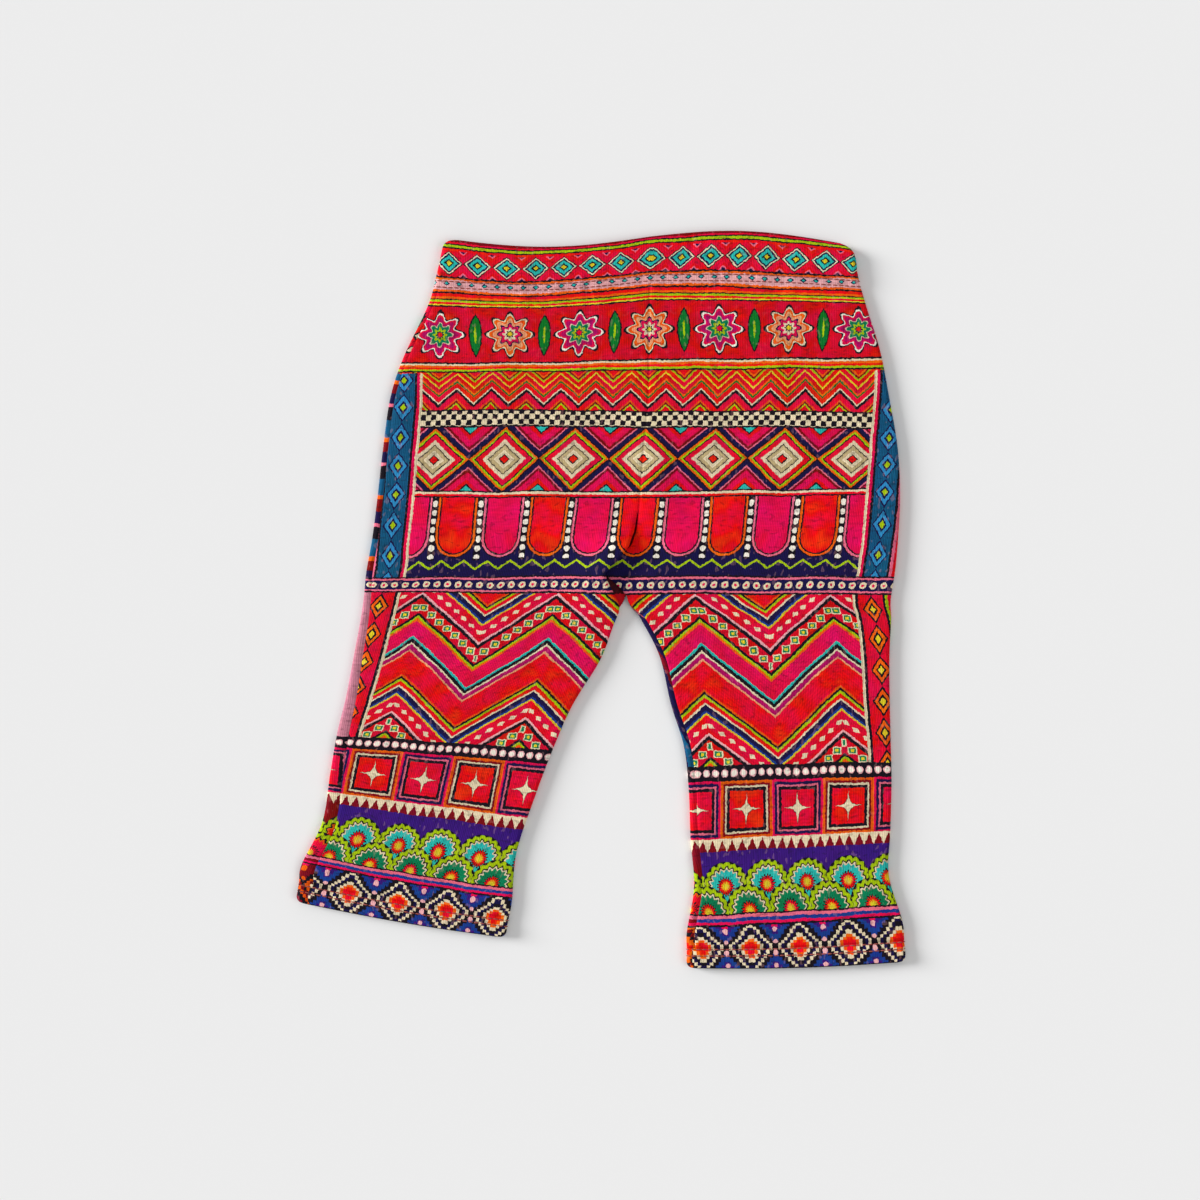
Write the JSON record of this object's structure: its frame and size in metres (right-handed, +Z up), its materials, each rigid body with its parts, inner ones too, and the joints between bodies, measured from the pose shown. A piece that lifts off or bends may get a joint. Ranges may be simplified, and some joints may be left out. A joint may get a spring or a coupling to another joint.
{
  "type": "baby leggings laid flat",
  "caption": "Baby leggings in printed stretch jersey, laid flat front up, with an elastic waist casing, turned hems and a tuck at the crotch.",
  "frame": {"origin": "on the surface that the garment lies on, under the middle of its outline", "axes": "+Z up off the surface, +Y towards the waist, +X to the right of someone who looks down at the front"},
  "size_m": [0.2983, 0.3595, 0.0082],
  "materials": {
    "printed_jersey": "matte stretch jersey with an all-over print in reds and pinks with many small colours",
    "waist_casing": "the same printed jersey, turned double over an elastic and coverstitched",
    "hem_border": "the same jersey, turned double, with the print's blue and turquoise border",
    "thread": "red-brown sewing thread"
  },
  "bodies": {
    "root": {"front_left": "printed_jersey", "front_right": "printed_jersey", "back_left": "printed_jersey", "back_right": "printed_jersey", "waistband": "waist_casing", "hem_left": "hem_border", "hem_right": "hem_border"}
  },
  "joints": []
}
